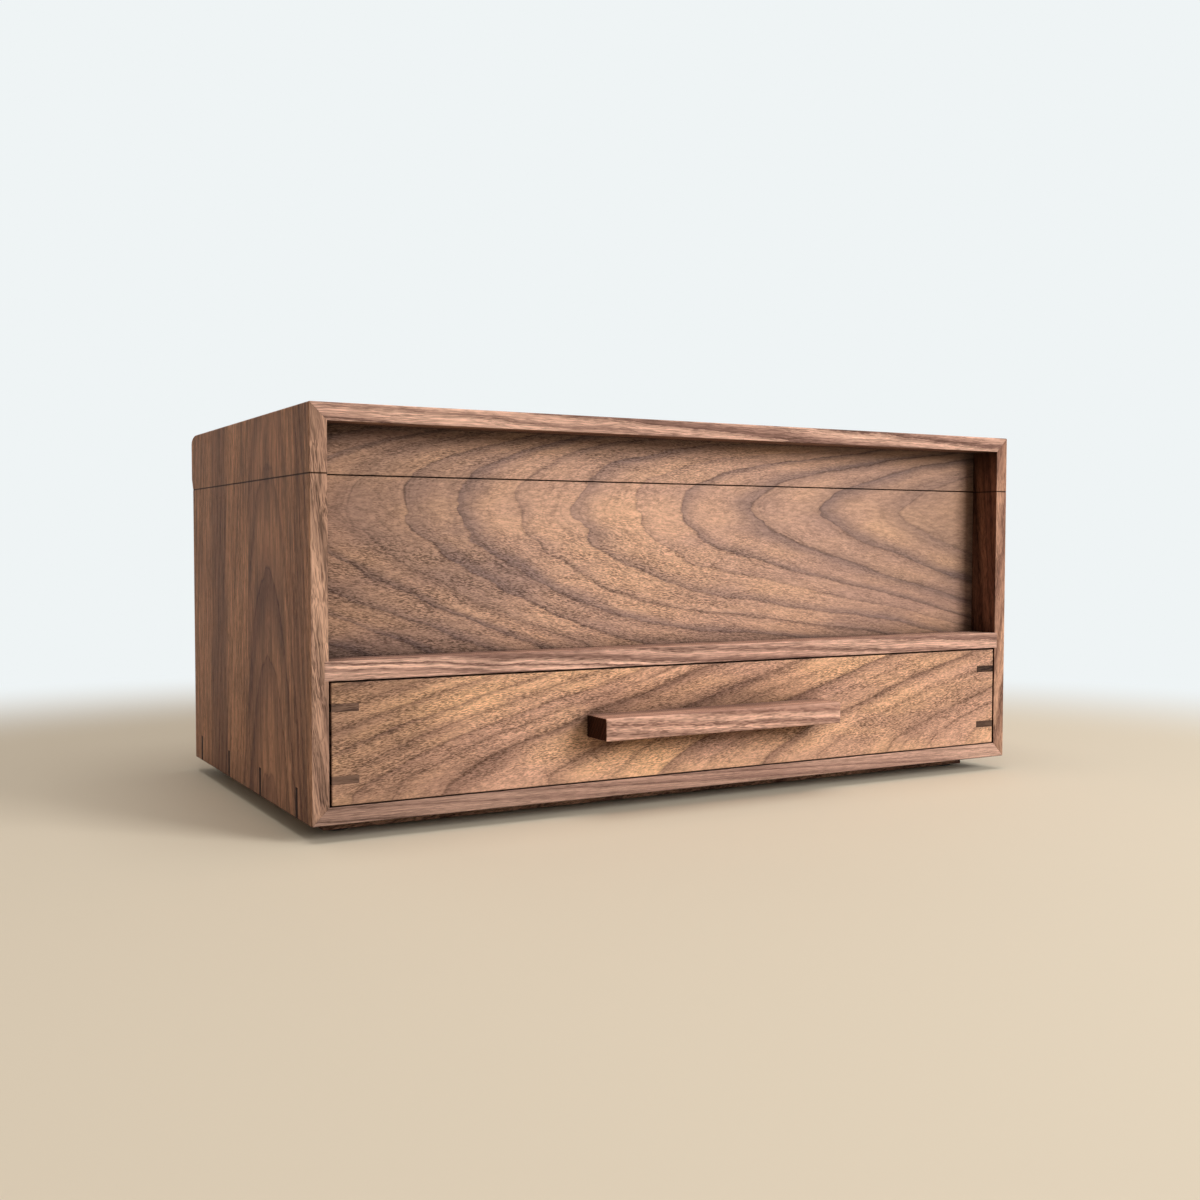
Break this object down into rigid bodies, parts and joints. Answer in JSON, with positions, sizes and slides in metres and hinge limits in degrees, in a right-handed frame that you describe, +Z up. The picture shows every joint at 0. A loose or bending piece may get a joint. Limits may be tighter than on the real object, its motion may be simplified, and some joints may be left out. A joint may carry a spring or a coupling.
{
  "type": "valet box",
  "caption": "Walnut valet box: hinged lid over a divided tray behind a set-back front panel, and a keyed drawer with a bar handle below, on a low plinth.",
  "frame": {"origin": "on the table, in the middle of the whole outline seen from above, handle and hinge knuckles included", "axes": "+X to the right across the width as the drawer is faced, +Y from the drawer to the back, +Z up"},
  "size_m": [0.343, 0.2044, 0.1596],
  "materials": {
    "walnut_case": "hand-rubbed oil, satin",
    "walnut_shelf": "hand-rubbed oil, satin",
    "walnut_front_panel": "hand-rubbed oil, satin, sideways cathedral figure",
    "walnut_back": "hand-rubbed oil, satin",
    "walnut_keys": "hand-rubbed oil, satin, darker wood",
    "walnut_plinth": "hand-rubbed oil, satin",
    "pad_rubber": "matt",
    "walnut_dividers": "hand-rubbed oil, satin",
    "walnut_drawer_front": "hand-rubbed oil, satin, golden slanting grain",
    "walnut_drawer_box": "oiled, satin",
    "walnut_drawer_bottom": "oiled, satin",
    "walnut_handle": "hand-rubbed oil, satin",
    "lining_felt": "wool felt, matt",
    "hinge_brass": "brushed brass",
    "screw_steel": "bright zinc"
  },
  "bodies": {
    "case": {"left_side": "walnut_case", "right_side": "walnut_case", "bottom_board": "walnut_case", "shelf_board": "walnut_shelf", "upper_front_panel": "walnut_front_panel", "back_panel": "walnut_back", "left_corner_keys": "walnut_keys", "right_corner_keys": "walnut_keys", "plinth_front_rail": "walnut_plinth", "plinth_back_rail": "walnut_plinth", "plinth_left_rail": "walnut_plinth", "plinth_right_rail": "walnut_plinth", "foot_pads": "pad_rubber", "tray_lining": "lining_felt", "long_divider": "walnut_dividers", "left_short_divider": "walnut_dividers", "right_short_divider": "walnut_dividers", "left_hinge_case_leaf": "hinge_brass", "left_hinge_pin": "hinge_brass", "right_hinge_case_leaf": "hinge_brass", "right_hinge_pin": "hinge_brass", "case_hinge_screws": "hinge_brass"},
    "lid": {"lid_top_board": "walnut_case", "lid_left_side": "walnut_case", "lid_right_side": "walnut_case", "lid_front_rail": "walnut_front_panel", "lid_back_rail": "walnut_back", "left_hinge_lid_leaf": "hinge_brass", "right_hinge_lid_leaf": "hinge_brass", "lid_hinge_screws": "hinge_brass"},
    "drawer": {"drawer_front": "walnut_drawer_front", "drawer_back": "walnut_drawer_box", "drawer_left_side": "walnut_drawer_box", "drawer_right_side": "walnut_drawer_box", "drawer_bottom": "walnut_drawer_bottom", "drawer_front_keys": "walnut_keys", "drawer_back_keys": "walnut_keys", "drawer_lining": "lining_felt", "drawer_handle": "walnut_handle", "handle_screws": "screw_steel"}
  },
  "joints": [
    {"name": "lid_hinge", "type": "hinge", "parent": "case", "child": "lid", "pos_m": [0, 0.1002, 0.1341], "axis": [-1, 0, 0], "range_deg": [0, 95]},
    {"name": "drawer_slide", "type": "slide", "parent": "case", "child": "drawer", "axis": [0, -1, 0], "range_m": [0, 0.13]}
  ]
}
